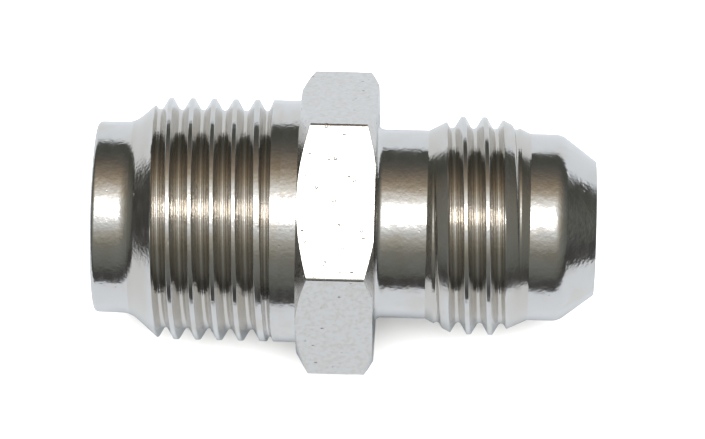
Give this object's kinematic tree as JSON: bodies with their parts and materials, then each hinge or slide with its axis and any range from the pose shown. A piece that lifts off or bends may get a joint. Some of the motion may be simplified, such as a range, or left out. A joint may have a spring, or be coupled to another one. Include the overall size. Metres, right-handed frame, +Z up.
{
  "type": "hex nipple",
  "caption": "Straight threaded adapter with a wrench hexagon between a pilot-nosed port thread and a smaller flared-tube thread ending in a cone.",
  "frame": {"origin": "under the middle of the length, on the plane that the lower hexagon flat rests on", "axes": "+X along the axis from the port end to the flare end, +Z up, hexagon corners to +Y and -Y"},
  "size_m": [0.0328, 0.0202, 0.0175],
  "materials": {
    "nickel_turned": "nickel plate over turned metal, fine tool lines around the axis",
    "nickel_thread": "nickel plate over cut thread, warmer in the grooves",
    "nickel_hex": "nickel plate over drawn bar, slightly pitted and scratched"
  },
  "bodies": {
    "root": {"pilot_nose": "nickel_turned", "port_thread": "nickel_thread", "port_shank": "nickel_turned", "wrench_hex": "nickel_hex", "flare_neck": "nickel_turned", "flare_thread": "nickel_thread", "flare_nose": "nickel_turned"}
  },
  "joints": []
}
